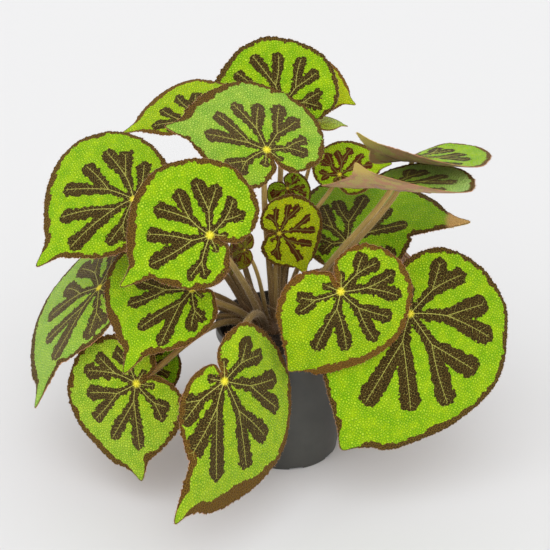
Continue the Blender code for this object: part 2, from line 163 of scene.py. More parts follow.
def pot_profile():
    """Radius and height of the wall, from the foot up its outside, over the lip and down its inside."""
    rise = POT_TOP_RADIUS - POT_BASE_RADIUS
    low, top = POT_HEIGHT - LIP_HEIGHT, POT_HEIGHT
    foot = [(POT_BASE_RADIUS + out, height) for out, height in (
        (-.0020, 0), (-.0008, .0001), (-.0002, .0004), (0, .0010), (.0001, .0022))]
    outside = [(POT_BASE_RADIUS + rise * share, low * share) for share in np.linspace(.05, .97, 16)]
    bead = [(POT_TOP_RADIUS + .0002, low - .0016), (POT_TOP_RADIUS + .0010, low - .0008)]
    lip = [(LIP_RADIUS + out, height) for out, height in (
        (-.0012, low - .0001), (-.0003, low + .0003), (.0001, low + .0010), (-.0001, low + .0020),
        (0, low + .0040), (.0002, top - .0022), (.0003, top - .0010), (0, top - .0003), (-.0006, top),
        (-.0016, top), (-.0022, top - .0004), (-.0026, top - .0014))]
    inside = [(POT_TOP_RADIUS - POT_WALL + .0014, low + .0014), (POT_TOP_RADIUS - POT_WALL, low - .0014)]
    inside += [(POT_BASE_RADIUS + rise * share - POT_WALL, max(POT_FLOOR, low * share))
               for share in np.linspace(.95, .03, 12)]
    return foot + outside + bead + lip + inside + [(POT_BASE_RADIUS - POT_WALL, POT_FLOOR)]


def turned(profile, segments):
    """Points and faces of a profile turned about Z, with its first and last rings capped."""
    angles = np.arange(segments) / segments * 2 * np.pi
    points = np.vstack([np.stack([radius * np.cos(angles), radius * np.sin(angles),
                                  np.full(segments, height)], 1) for radius, height in profile])
    faces = []
    for start in range(0, len(points) - segments, segments):
        for j in range(segments):
            a, b = start + j, start + (j + 1) % segments
            faces.append((a, b, b + segments, a + segments))
    faces.append(tuple(range(segments))[::-1])
    faces.append(tuple(range(len(points) - segments, len(points))))
    return points, faces


def make_plain(piece):
    """Turns what the piece's modifiers make of it into its own mesh."""
    graph = bpy.context.evaluated_depsgraph_get()
    mesh = bpy.data.meshes.new_from_object(piece.evaluated_get(graph))
    piece.modifiers.clear()
    piece.data = mesh


def cut_away(piece, cutters):
    """Cuts the cutters out of the piece and removes them."""
    group = bpy.data.collections.new("cutters")
    bpy.context.scene.collection.children.link(group)
    for cutter in cutters:
        bpy.context.scene.collection.objects.unlink(cutter)
        group.objects.link(cutter)
    modifier = piece.modifiers.new("cut", "BOOLEAN")
    modifier.operation = "DIFFERENCE"
    modifier.solver = "EXACT"
    modifier.operand_type = "COLLECTION"
    modifier.collection = group
    make_plain(piece)
    for cutter in cutters:
        bpy.data.objects.remove(cutter)
    bpy.data.collections.remove(group)


def upright_box(middle, along, out, size):
    """Corners and faces of a box with its length along one way and its depth along out."""
    up = np.cross(along, out)
    points = [middle + a * size[0] / 2 * along + b * size[1] / 2 * out + c * size[2] / 2 * up
              for a in (-1, 1) for b in (-1, 1) for c in (-1, 1)]
    return points, [(0, 1, 3, 2), (4, 6, 7, 5), (0, 4, 5, 1), (2, 3, 7, 6), (0, 2, 6, 4), (1, 5, 7, 3)]


pot_plastic, tree, shader = principled("satin_grey_plastic", (.055, .056, .050), .40)
place = node(tree, "ShaderNodeTexCoord").outputs["Object"]
streaks = node(tree, "ShaderNodeMapping", {"Vector": place, "Scale": (160, 160, 6)}).outputs["Vector"]
satin = node(tree, "ShaderNodeMapRange",
             {"Value": noise(tree, streaks, 1, 3), "To Min": .34, "To Max": .50})
feed(tree, shader, {
    "Base Color": ramped(tree, noise(tree, place, 28, 4, .6),
                         (.35, (.036, .036, .032)), (.7, (.056, .056, .048))),
    "Roughness": satin.outputs["Result"],
    "Normal": bump(tree, .12, .0002, noise(tree, place, 900, 2)),
})

pot_wall = add_piece("pot_wall", *turned(pot_profile(), POT_SEGMENTS))
cutters = []
for i in range(DRAIN_HOLES):
    angle = (i + .5) / DRAIN_HOLES * 2 * np.pi
    points, faces = turned([(DRAIN_RADIUS, -.002), (DRAIN_RADIUS, .006)], 24)
    spot = np.array((np.cos(angle), np.sin(angle), 0)) * DRAIN_CIRCLE
    cutters.append(add_piece("drain_cutter", points + spot, faces))
for i in range(NOTCHES):
    angle = (i + .25) / NOTCHES * 2 * np.pi
    out = np.array((np.cos(angle), np.sin(angle), 0))
    along = np.array((-np.sin(angle), np.cos(angle), 0))
    middle = out * (POT_BASE_RADIUS - .0001) + (0, 0, NOTCH_HEIGHT - NOTCH_SIZE[2] / 2)
    cutters.append(add_piece("notch_cutter", *upright_box(middle, along, out, NOTCH_SIZE)))
cut_away(pot_wall, cutters)
pot_wall.data.materials.clear()
pot_wall.data.materials.append(pot_plastic)
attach(pot_wall, "root")
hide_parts("pot")


# Soil. Dark peat fills the pot to a little under its lip: a loose crumbly surface of clods and
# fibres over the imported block, which shows between the stalks and through the drain holes.
SOIL_EDGE_HEIGHT = .108
SOIL_RADIUS = .0542
CRUST = .0012
RINGS, SPOKES = 26, 72


def soil_height(x, y):
    share = np.hypot(x, y) / POT_TOP_RADIUS
    wave = np.sin(x * 190 + 1.3) * np.cos(y * 160 + .4) + .6 * np.sin(x * 410 + y * 330)
    return SOIL_EDGE_HEIGHT + .004 * (1 - share ** 2) + .0006 * wave


def growth_tree(name, sizes):
    """A Geometry Nodes tree with a mesh in, a mesh out and a named number input for each size."""
    tree = bpy.data.node_groups.new(name, "GeometryNodeTree")
    tree.interface.new_socket("Geometry", in_out="INPUT", socket_type="NodeSocketGeometry")
    tree.interface.new_socket("Geometry", in_out="OUTPUT", socket_type="NodeSocketGeometry")
    for label, value in sizes.items():
        kind = "NodeSocketInt" if isinstance(value, int) else "NodeSocketFloat"
        tree.interface.new_socket(label, in_out="INPUT", socket_type=kind).default_value = value
    return tree, node(tree, "NodeGroupInput").outputs, node(tree, "NodeGroupOutput").inputs["Geometry"]


def grow(piece, tree, **sizes):
    """Runs the tree on the piece, with these sizes, and keeps the result as a plain mesh."""
    modifier = piece.modifiers.new(tree.name, "NODES")
    modifier.node_group = tree
    for item in tree.interface.items_tree:
        if item.in_out == "INPUT" and item.name in sizes:
            modifier[item.identifier] = sizes[item.name]
    make_plain(piece)


def random_vector(tree, low, high, seed):
    return node(tree, "FunctionNodeRandomValue", {"Min": low, "Max": high, "Seed": seed},
                data_type="FLOAT_VECTOR").outputs["Value"]


def scattered(tree, sizes, density):
    return node(tree, "GeometryNodeDistributePointsOnFaces",
                {"Mesh": sizes["Geometry"], "Density": sizes[density], "Seed": sizes["Seed"]}).outputs


def coated(tree, geometry, material):
    return node(tree, "GeometryNodeSetMaterial",
                {"Geometry": geometry, "Material": material}).outputs["Geometry"]


def made_real(tree, geometry, material, result):
    """Turns instances into plain mesh of one material, as the tree's result."""
    real = node(tree, "GeometryNodeRealizeInstances", {"Geometry": geometry})
    tree.links.new(coated(tree, real.outputs["Geometry"], material), result)


peat, tree, shader = principled("dark_peat", (.028, .020, .014), .95)
clods = noise(tree, node(tree, "ShaderNodeTexCoord").outputs["Object"], 260, 6, .7)
feed(tree, shader, {
    "Base Color": ramped(tree, clods, (.38, (.008, .006, .004)), (.68, (.062, .042, .026))),
    "Normal": bump(tree, .8, .0006, clods),
})

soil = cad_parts["soil"]
soil.data.materials.clear()
soil.data.materials.append(peat)

tree, sizes, result = growth_tree("peat_crumbs", {"Crumbs per square metre": 165000.0,
                                                  "Crumb size": .0013, "Seed": 4})
scatter = scattered(tree, sizes, "Crumbs per square metre")
crumb = node(tree, "GeometryNodeMeshIcoSphere", {"Radius": sizes["Crumb size"], "Subdivisions": 1})
ruffle = node(tree, "GeometryNodeSetPosition", {
    "Geometry": crumb.outputs["Mesh"], "Offset": random_vector(tree, (-.0004,) * 3, (.0004,) * 3, 2)})
turn = node(tree, "FunctionNodeEulerToRotation", {
    "Euler": random_vector(tree, (0, 0, 0), (6.3, 6.3, 6.3), 5)})
crumbs = node(tree, "GeometryNodeInstanceOnPoints", {
    "Points": scatter["Points"], "Instance": ruffle.outputs["Geometry"],
    "Rotation": turn.outputs["Rotation"],
    "Scale": random_vector(tree, (.3, .3, .25), (1.5, 1.3, .9), 7)})
together = node(tree, "GeometryNodeJoinGeometry")
tree.links.new(sizes["Geometry"], together.inputs["Geometry"])
tree.links.new(crumbs.outputs["Instances"], together.inputs["Geometry"])
made_real(tree, together.outputs["Geometry"], peat, result)

rng = np.random.default_rng(11)
points = [(0, 0, soil_height(0, 0) + CRUST)]
faces = []
spin = np.arange(SPOKES) / SPOKES * 2 * np.pi
for ring in range(1, RINGS + 1):
    x, y = SOIL_RADIUS * ring / RINGS * np.cos(spin), SOIL_RADIUS * ring / RINGS * np.sin(spin)
    lift = CRUST + rng.uniform(-.5, .5, SPOKES) * .0011 - (.0025 if ring == RINGS else 0)
    points += list(zip(x, y, soil_height(x, y) + lift))
for j in range(SPOKES):
    faces.append((0, 1 + j, 1 + (j + 1) % SPOKES))
    for ring in range(RINGS - 1):
        a, b = 1 + ring * SPOKES + j, 1 + ring * SPOKES + (j + 1) % SPOKES
        faces.append((a, a + SPOKES, b + SPOKES, b))
peat_crumbs = add_piece("peat_crumbs", points, faces)
grow(peat_crumbs, tree)
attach(peat_crumbs, "root")


# Rhizome and stalks. The plant creeps: one thick knobbly rhizome lies half sunk in the peat and sends
# up all the stalks. They are fleshy, red-brown, faintly ribbed and felted with pale hairs, and each
# swells into the underside of its blade. Dry papery scales wrap the growing points.

MM = .001

# Edge of a blade: how far it reaches from the stalk, as a share of the length to the tip, along
# rays that turn from the tip, at 0 degrees, past the small side to the deep notch, and on round the
# lobe and the big side. DRAWN_OUT has a long narrow tip, and FULL is broad up to the tip.
EDGE_RAYS = (
    0, -5, -10, -20, -40, -60, -80, -100, -120, -125, -130, -140,
    -160, 180, 160, 140, 120, 100, 80, 60, 40, 20, 10, 5,
)
DRAWN_OUT = (
    1, .72, .67, .61, .55, .49, .41, .29, .20, .06, .20, .31,
    .44, .56, .63, .70, .74, .77, .82, .82, .80, .81, .83, .90,
)
FULL = (
    1, .90, .83, .74, .65, .55, .44, .29, .20, .06, .20, .30,
    .39, .48, .54, .60, .66, .69, .75, .77, .81, .90, .92, .95,
)
NOTCH = EDGE_RAYS.index(-125)

# Forms that the blades share. widths: small side, big side and back lobes, as shares of the edge
# above. full: from 0, drawn out, to 1, full, for the small and the big side. fold: degrees that each
# side bends up or, below 0, down. droop: bend of the tip. dome: bend of the edge, hollow below 0.
PLAIN = dict(widths=(1, 1, 1), droop=.08, dome=.05, side=1, bow=(0, 0, 0), arrive=.55, reach=1, bands=1,
             swing=0, tone_and_shade=0, painted_sheen=0, young=0, warm=0, border=2.5, dry=0)
GROWN = dict(PLAIN, full=(.3, .3), fold=(-5, -5))
BROAD = dict(PLAIN, full=(1, 1), fold=(-5, -10))
ROLLED = dict(PLAIN, widths=(.6, 1.1, .9), full=(-.5, .7), fold=(-15, -35), droop=.02)
DISHED = dict(PLAIN, widths=(1, .9, 1.1), full=(.5, .3), fold=(-10, 0), droop=-.3, dome=-.08)
YOUNG = dict(PLAIN, full=(.4, .4), fold=(-8, -8))
TINY = dict(PLAIN, full=(.4, .4), fold=(-10, -10))

# One row for each leaf, in millimetres and degrees, over the form that it shares.
# at: where the stalk meets the blade. length: from there to the tip.
# faces: compass way that the upper side looks, 0 for -Y and 90 for +X. lean: 0 level, 90 upright.
# turn: swing of the tip from the steepest way down. side: +1 or -1, which side is the big one.
# bow: sideways bend of the stalk. arrive: how squarely the stalk meets the blade.
# reach: how far the brown bands run. bands: their width. swing: turn of the band pattern.
# tone_and_shade: yellower above 0 and deeper green below, which is partly painted shade on blades in
# shadow.
# painted_sheen: painted sheen, the grey of the hairs seen at a grazing view, which also lightens a shaded
# blade. young: redder bands.
# warm: orange in the rim. border: breadth added to the rim near the tip. dry: brown tip, both in mm.
LEAVES = (
    dict(GROWN, name="leaf_left_upper", at=(-121, -20, 241), length=92, faces=-10, lean=40, turn=-50,
         widths=(.8, 1.1, .7), full=(.5, 0), bow=(0, 55, 0), reach=1.05, swing=-10, warm=.3),
    dict(GROWN, name="leaf_left_front", at=(-58, -75, 234), length=78, faces=0, lean=65, turn=-60,
         widths=(1, 1, .95), full=(0, 0), bow=(2, -4, 2), warm=.4),
    dict(GROWN, name="leaf_left_middle", at=(-75, -50, 177), length=84, faces=-10, lean=35, turn=-30,
         widths=(.85, 1.1, 1), full=(.3, 0), reach=.95, swing=-15, warm=.4),
    dict(GROWN, name="leaf_far_left", at=(-155, -14, 160), length=108, faces=-65, lean=40, turn=20,
         widths=(.9, 1, 1), full=(-.3, .3), painted_sheen=.5, bands=1.1),
    dict(GROWN, name="leaf_low_left", at=(-120, -75, 105), length=82, faces=-15, lean=70, turn=5,
         widths=(1, 1, .85), full=(.5, .6), bow=(0, 0, 8), swing=-5, tone_and_shade=.3, painted_sheen=.2, warm=.3),
    dict(YOUNG, name="leaf_low_left_rear", at=(-123, -42, 104), length=45, faces=0, lean=65, turn=10,
         side=-1, bow=(0, 0, 14), tone_and_shade=-.4),
    dict(ROLLED, name="leaf_low_front", at=(-47, -119, 134), length=108, faces=25, lean=50, turn=-35,
         side=-1, bow=(0, 0, 26), reach=1.05, swing=-10, tone_and_shade=.3, painted_sheen=.1, warm=.6, border=8),
    dict(BROAD, name="leaf_right_front", at=(40, -85, 192), length=78, faces=0, lean=80, turn=-30,
         side=-1, widths=(1, 1.05, 1.1), swing=5, tone_and_shade=.2, warm=1, bands=1.1, border=4),
    dict(BROAD, name="leaf_right_large", at=(97, -60, 160), length=120, faces=10, lean=65, turn=-30,
         side=-1, widths=(1, 1.05, 1), fold=(-5, -5), reach=1.05, swing=-5),
    dict(GROWN, name="leaf_top_front", at=(-16, 0, 275), length=83, faces=25, lean=40, turn=-110,
         droop=-.05, dome=-.05, painted_sheen=.4, warm=.3),
    dict(GROWN, name="leaf_top_rear", at=(-3, 68, 290), length=75, faces=0, lean=60, turn=-85,
         widths=(1, 1.05, 1.1), full=(.3, .2), reach=1.05, swing=10),
    dict(GROWN, name="leaf_top_left", at=(-74, 40, 285), length=65, faces=-15, lean=35, turn=-80,
         widths=(.35, 1, 1), reach=.9, tone_and_shade=.4, warm=.8),
    dict(YOUNG, name="leaf_young_top", at=(18, 96, 298), length=45, faces=10, lean=50, turn=70, side=-1,
         bow=(-5, 0, 0), reach=0, tone_and_shade=1, young=.6, warm=1.6),
    dict(TINY, name="leaf_young_top_small", at=(29, 85, 270), length=25, faces=10, lean=15, turn=85,
         side=-1, widths=(.8, .9, 1), bow=(-8, 14, 0), reach=0, tone_and_shade=.7, painted_sheen=.4, young=.6, warm=1.2),
    dict(YOUNG, name="leaf_young_right", at=(46, 60, 232), length=46, faces=-10, lean=45, turn=110,
         side=-1, widths=(1, 1, .9), full=(.4, .9), bow=(-32, 0, 10), tone_and_shade=.1, young=.9, warm=.4,
         bands=1),
    dict(DISHED, name="leaf_right_high", at=(105, 32, 257), length=90, faces=195, lean=10, turn=130,
         side=-1, widths=(.6, .9, 1.2), full=(0, .3), fold=(-15, -5), bow=(-8, -26, 4), warm=.8, dry=16),
    dict(DISHED, name="leaf_right_level", at=(84, -20, 254), length=90, faces=170, lean=5, turn=165,
         side=-1, widths=(1.2, .9, 1.1), dome=-.12, bow=(-6, 0, 0), arrive=.2, painted_sheen=1, warm=.3, dry=12),
    dict(GROWN, name="leaf_right_middle", at=(52, 30, 181), length=108, faces=-10, lean=35, turn=110,
         side=-1, widths=(.9, 1, .6), full=(-1, .5), fold=(-8, -12), reach=.85, swing=5, tone_and_shade=-.3, dry=20,
         bands=.8),
    dict(YOUNG, name="leaf_young_centre", at=(-6, -5, 205), length=45, faces=15, lean=80, turn=30,
         side=-1, widths=(1, 1.1, 1), reach=1.1, tone_and_shade=.9, young=.8, warm=.4, bands=.95),
    dict(YOUNG, name="leaf_young_rear", at=(1, 27, 232), length=30, faces=20, lean=60, turn=-35, side=-1,
         widths=(1.1, 1, 1), reach=1.1, tone_and_shade=-.2, young=1.1, warm=.2, bands=1.1),
    dict(TINY, name="leaf_bud", at=(-34, -20, 197), length=24, faces=-40, lean=60, turn=-15, reach=1.2,
         young=1.7, warm=.5, bands=1.2),
    dict(GROWN, name="leaf_back_left", at=(-94, 84, 210), length=84, faces=200, lean=45, turn=-20,
         warm=.3),
    dict(GROWN, name="leaf_back_right", at=(104, 84, 150), length=70, faces=120, lean=50, turn=-25,
         tone_and_shade=.1),
    dict(GROWN, name="leaf_back_middle", at=(28, 114, 168), length=60, faces=180, lean=60, turn=10,
         side=-1, tone_and_shade=-.1, warm=.5),
    dict(GROWN, name="leaf_back_low_left", at=(-106, 58, 138), length=78, faces=225, lean=55, turn=10,
         tone_and_shade=-.1, warm=.2),
    dict(GROWN, name="leaf_back_low_right", at=(62, 80, 108), length=70, faces=160, lean=60, turn=-10,
         side=-1, bow=(0, 0, 26)),
)

RHIZOME_START = (-.036, .005, .108)
RHIZOME_END = (.018, -.003, .121)
BLADE_THICKNESS = .0008
STALK_RADII = (.0029, .0021)
STALK_STEPS = 30
STALK_SIDES = 14
SCALES = (
    ((-28, 0, 112), (-37, -18, 150)),
    ((-20, 6, 114), (-34, 10, 158)),
    ((-6, -3, 117), (-16, -22, 148)),
    ((7, 3, 120), (22, 14, 152)),
    ((11, -4, 119), (26, -14, 143)),
)


def leaf_axes(leaf):
    """Unit vectors of a blade: out of its upper side, towards its tip, and towards its big side."""
    faces, lean, turn = np.radians((leaf["faces"], leaf["lean"], leaf["turn"]))
    upper = np.array((np.sin(lean) * np.sin(faces), -np.sin(lean) * np.cos(faces), np.cos(lean)))
    down = np.array((np.cos(lean) * np.sin(faces), -np.cos(lean) * np.cos(faces), -np.sin(lean)))
    tip = down * np.cos(turn) + np.cross(upper, down) * np.sin(turn)
    return upper, tip, np.cross(tip, upper) * leaf["side"]


def tube(path, radii, sides, ribs=0.0):
    """Rings of a round tube along the path, with shallow ribs, and its faces."""
    path = np.asarray(path, float)
    tangents = np.gradient(path, axis=0)
    tangents /= np.linalg.norm(tangents, axis=1)[:, None]
    across = np.cross(tangents[0], (1, 0, .2))
    angles = np.arange(sides) / sides * 2 * np.pi
    bulge = (1 + ribs * np.cos(angles * sides / 2))[:, None]
    points = []
    for middle, tangent, radius in zip(path, tangents, radii):
        across = across - tangent * (across @ tangent)
        across /= np.linalg.norm(across)
        other = np.cross(tangent, across)
        round_it = np.cos(angles)[:, None] * across + np.sin(angles)[:, None] * other
        points.append(middle + radius * bulge * round_it)
    faces = []
    for i in range(len(path) - 1):
        for j in range(sides):
            a, b = i * sides + j, i * sides + (j + 1) % sides
            faces.append((a, b, b + sides, a + sides))
    faces.append(tuple(range(sides))[::-1])
    faces.append(tuple(range((len(path) - 1) * sides, len(path) * sides)))
    return np.vstack(points), faces


def stalk_path(leaf, steps):
    """A stalk's middle line, from inside the rhizome to the underside of its blade."""
    upper = leaf_axes(leaf)[0]
    x, y, _ = leaf["at"]
    start, stop = np.array(RHIZOME_START) / MM, np.array(RHIZOME_END) / MM
    foot_x = np.clip(.18 * x - 8, -27, 10)
    share = (foot_x - start[0]) / (stop[0] - start[0])
    foot_y = start[1] * (1 - share) + np.clip(.08 * y, -5, 5)
    foot = np.array((foot_x, foot_y, start[2] + (stop[2] - start[2]) * share)) * MM
    end = np.array(leaf["at"]) * MM - upper * BLADE_THICKNESS * .7
    chord = end - foot
    reach = np.linalg.norm(chord)
    leave = chord * (1, 1, 0) / reach * .8 + (0, 0, 1)
    leave /= np.linalg.norm(leave)
    arrive = leaf["arrive"] * upper + (1.15 - leaf["arrive"]) * chord / reach
    arrive /= np.linalg.norm(arrive)
    bow = np.array(leaf["bow"]) * MM
    corners = (foot, foot + leave * reach * .45 + bow, end - arrive * reach * .33 + bow * .3, end)
    t = np.linspace(0, 1, steps + 1)[:, None]
    return ((1 - t) ** 3 * corners[0] + 3 * (1 - t) ** 2 * t * corners[1]
            + 3 * (1 - t) * t * t * corners[2] + t ** 3 * corners[3])


def rhizome_rings():
    start, stop = np.array(RHIZOME_START), np.array(RHIZOME_END)
    path, radii = [], []
    for t in np.linspace(0, 1, 41):
        sag = np.array((0, .002 * np.sin(3 * t), -.0015 * np.sin(np.pi * t)))
        path.append(start + (stop - start) * t + sag)
        taper = min(1, 2.6 * np.sqrt(max(.03, min(t, 1 - t))))
        radii.append(.0115 * taper * (1 + .06 * np.cos(t * 10 * np.pi + np.pi)))
    return tube(path, radii, 28, .025)


def papery_scale(foot, tip):
    """A thin hollowed strip that ends in a dry point."""
    foot, tip = np.array(foot) * MM, np.array(tip) * MM
    grow_way = tip - foot
    side = np.cross(grow_way, (0, 0, 1))
    side /= np.linalg.norm(side)
    out = np.cross(side, grow_way)
    out /= np.linalg.norm(out)
    points, faces = [], []
    steps, across = 16, 7
    for skin in (.0003, -.0003):
        for i in range(steps + 1):
            t = i / steps
            width = .0070 * (1 - t ** 1.6) + .0002
            middle = foot + grow_way * t + out * .004 * np.sin(np.pi * t)
            for s in np.linspace(-.5, .5, across):
                hollow = -out * (.9 * s * s - .2) * width
                points.append(middle + side * s * width + out * skin + hollow)
    size = (steps + 1) * across
    for i in range(steps):
        for j in range(across - 1):
            a = i * across + j
            faces.append((a, a + across, a + across + 1, a + 1))
            faces.append((a + size, a + size + 1, a + size + across + 1, a + size + across))
    border = [i * across for i in range(steps + 1)] + [steps * across + j for j in range(1, across)]
    border += [i * across + across - 1 for i in range(steps - 1, -1, -1)] + list(range(across - 2, 0, -1))
    for a, b in zip(border, border[1:] + border[:1]):
        faces.append((a, a + size, b + size, b))
    return np.array(points), faces


def join_parts(parts):
    """One list of points and one of faces from several."""
    points, faces, start = [], [], 0
    for some, more in parts:
        points.append(np.asarray(some, float))
        faces += [tuple(i + start for i in face) for face in more]
        start += len(some)
    return np.vstack(points), faces


def store(mesh, name, values, kind="FLOAT"):
    """Keeps one value or vector for each point of the mesh."""
    key, number = {"FLOAT": ("value", np.float32), "INT": ("value", np.int32),
                   "FLOAT_VECTOR": ("vector", np.float32)}[kind]
    field = mesh.attributes.new(name, kind, "POINT")
    field.data.foreach_set(key, np.ascontiguousarray(values, number).ravel())


def read(tree, name, output="Fac"):
    return node(tree, "ShaderNodeAttribute", attribute_name=name).outputs[output]


def mixed(tree, share, first, second, blend="MIX"):
    colours = [(*c, 1) if isinstance(c, tuple) else c for c in (first, second)]
    return node(tree, "ShaderNodeMix", {"Factor": share, "A": colours[0], "B": colours[1]},
                data_type="RGBA", blend_type=blend).outputs["Result"]


def thin_cone(tree, radius, depth):
    """A three-sided cone with no base, for a hair."""
    return node(tree, "GeometryNodeMeshCone", {"Vertices": 3, "Radius Top": 0.0, "Radius Bottom": radius,
                                               "Depth": depth}, fill_type="NONE").outputs["Mesh"]


def aimed(tree, way):
    """The turn that points a cone along the way."""
    return node(tree, "FunctionNodeAlignRotationToVector", {"Vector": way}, axis="Z").outputs["Rotation"]


# The stalk's skin reads how far up the stalk a point lies, and where it is along and around it.
stalk_skin, tree, shader = principled("red_brown_stalk", (.26, .10, .045), .6)
fibres = noise(tree, read(tree, "stalk_place", "Vector"), 3, 5, .65)
ramp = ramped(tree, read(tree, "stalk_share"), (0, (.080, .036, .013)), (1, (.62, .46, .13)),
              (.45, (.33, .25, .08)))
dark = node(tree, "ShaderNodeMapRange",
            {"Value": fibres, "From Min": .3, "From Max": .72}).outputs["Result"]
streaked = mixed(tree, dark, (.55, .50, .44), (1.25, 1.15, 1.0))
feed(tree, shader, {
    "Base Color": mixed(tree, 1.0, ramp, streaked, "MULTIPLY"), "Normal": bump(tree, .5, .0004, fibres),
    "Sheen Weight": .45, "Sheen Roughness": .4, "Sheen Tint": (.85, .72, .5, 1),
})

papery, tree, shader = principled("dry_papery_scale", (.22, .13, .06), .7)
fibres = noise(tree, node(tree, "ShaderNodeTexCoord").outputs["Object"], 500, 4)
feed(tree, shader, {"Base Color": ramped(tree, fibres, (0, (.10, .052, .022)), (1, (.42, .28, .13)))})

stalk_hair, tree, shader = principled("pale_stalk_hair", (.70, .58, .40), .55)
feed(tree, shader, {"Sheen Weight": .4})

# A felt of fine three-sided bristles, spread over a skin and tipped at random off its normal.
tree, sizes, result = growth_tree("bristles", {
    "Bristles per square metre": 360000.0, "Bristle length": .0020, "Bristle radius": .00006, "Seed": 3})
scatter = scattered(tree, sizes, "Bristles per square metre")
lean_off = node(tree, "ShaderNodeVectorMath", {
    0: scatter["Normal"], 1: random_vector(tree, (-.6,) * 3, (.6,) * 3, 8)}, operation="ADD")
bristles = node(tree, "GeometryNodeInstanceOnPoints", {
    "Points": scatter["Points"],
    "Instance": thin_cone(tree, sizes["Bristle radius"], sizes["Bristle length"]),
    "Rotation": aimed(tree, lean_off.outputs["Vector"]),
    "Scale": random_vector(tree, (.8, .8, .5), (1.2, 1.2, 1.2), 9)})
made_real(tree, bristles.outputs["Instances"], stalk_hair, result)

parts = [rhizome_rings()]
shares = [np.full(len(parts[0][0]), .05)]
places = [parts[0][0] * 300]
t = np.linspace(0, 1, STALK_STEPS + 1)
spin = np.arange(STALK_SIDES) / STALK_SIDES * 2 * np.pi
for number, leaf in enumerate(LEAVES):
    path = stalk_path(leaf, STALK_STEPS)
    scale = .55 + .45 * min(1, leaf["length"] / 80)
    # A stalk is a little stouter at its foot and swells again just under the blade.
    swell = 1 + .12 * np.exp(-((1 - t) / .04) ** 2)
    radii = (STALK_RADII[0] * (1 - t) + STALK_RADII[1] * t) * scale * swell
    radii *= 1 + .02 * np.sin(t * 19 + number)
    radii[-1] *= .35
    parts.append(tube(path, radii, STALK_SIDES, .03))
    run = np.r_[0, np.cumsum(np.linalg.norm(np.diff(path, axis=0), axis=1))]
    shares.append(np.repeat(t, STALK_SIDES))
    places.append(np.stack([np.tile(np.cos(spin), len(run)), np.tile(np.sin(spin), len(run)),
                            np.repeat(run * 25 + number * 7, STALK_SIDES)], 1))
points, faces = join_parts(parts)
stalks = add_piece("rhizome_stalks", points, faces)
store(stalks.data, "stalk_share", np.concatenate(shares))
store(stalks.data, "stalk_place", np.vstack(places), "FLOAT_VECTOR")
stalks.data.materials.append(stalk_skin)
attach(stalks, "root")
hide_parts("rhizome_and_stalks")

stalk_felt = add_piece("stalk_hairs", points, faces)
grow(stalk_felt, tree)
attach(stalk_felt, "root")

points, faces = join_parts([papery_scale(foot, tip) for foot, tip in SCALES])
papery_scales = add_piece("papery_scales", points, faces)
papery_scales.data.materials.append(papery)
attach(papery_scales, "root")


# Blades. Each is a lopsided heart, under a millimetre thick, raised into pebbles between its fine
# veins. Its upper skin is bright green with forked chocolate bands along the main veins and a ragged
# brown rim. Its underside is paler and ribbed, and short red-brown hairs fringe its scalloped edge.
# Sizes are in millimetres, apart from the pebbles' height. Blades under SMALL_BLADE have finer nets,
# and those under FULL_GROWN have smaller teeth and margins.
PEBBLE = 2.1
PEBBLE_HEIGHT = .00040
NET, SMALL_NET = 1.05, .7
UNDER_NET, SMALL_UNDER_NET = 2.6, 1.6
SMALL_BLADE = 50
FULL_GROWN = 70
SCALLOP = 6.2
SCALLOP_DEPTH = 1.7
FRINGE_STEP = .55
VEIN_GIRTH = .36
# The main veins of one blade: each with its fork and its tips, as a ray from the stalk's end, in
# degrees round the big side from the leaf's tip, and a share of the leaf's length. The last two are
# short ones beside the notch.
VEINS = (
    ((68, .24), (82, .53), (56, .60)),
    ((118, .24), (105, .53), (128, .47)),
    ((165, .21), (155, .40), (177, .36)),
    ((14, .18), (31, .60), (4, .62)),
    ((-41, .26), (-33, .44), (-50, .38)),
    ((210, .09), (210, .16)),
    ((-83, .08), (-83, .16)),
)
# For each of these veins: how much of the leaf's own swing it takes, and how stout its band is.
SWINGS = (1, 1, 1, 1, .6, 0, 0)
STOUT = (1, 1, .9, 1, .85, .5, .5)


def smooth_loop(points, steps):
    """A closed curve through the points, with the given number of steps between them."""
    curve = []
    count = len(points)
    for i in range(count):
        before, here = points[i - 1], points[i]
        after, later = points[(i + 1) % count], points[(i + 2) % count]
        for t in np.arange(steps) / steps:
            bend = 2 * before - 5 * here + 4 * after - later
            twist = -before + 3 * here - 3 * after + later
            curve.append(.5 * (2 * here + (after - before) * t + bend * t * t + twist * t ** 3))
    return np.array(curve)


def blade_outline(leaf):
    """The blade's outline before its scallops, flat and in millimetres."""
    small, big, lobes = leaf["widths"]
    rays = np.radians(EDGE_RAYS)
    share = np.where(np.arange(len(rays)) <= NOTCH, leaf["full"][0], leaf["full"][1])
    reach = np.array(DRAWN_OUT) * (1 - share) + np.array(FULL) * share
    outline = np.stack([reach * np.cos(rays), reach * np.sin(rays)], 1)
    outline[:, 0] = np.where(outline[:, 0] < 0, outline[:, 0] * lobes, outline[:, 0])
    outline[:, 1] *= np.where(outline[:, 1] < 0, small, big)
    return smooth_loop(outline, 16) * leaf["length"]


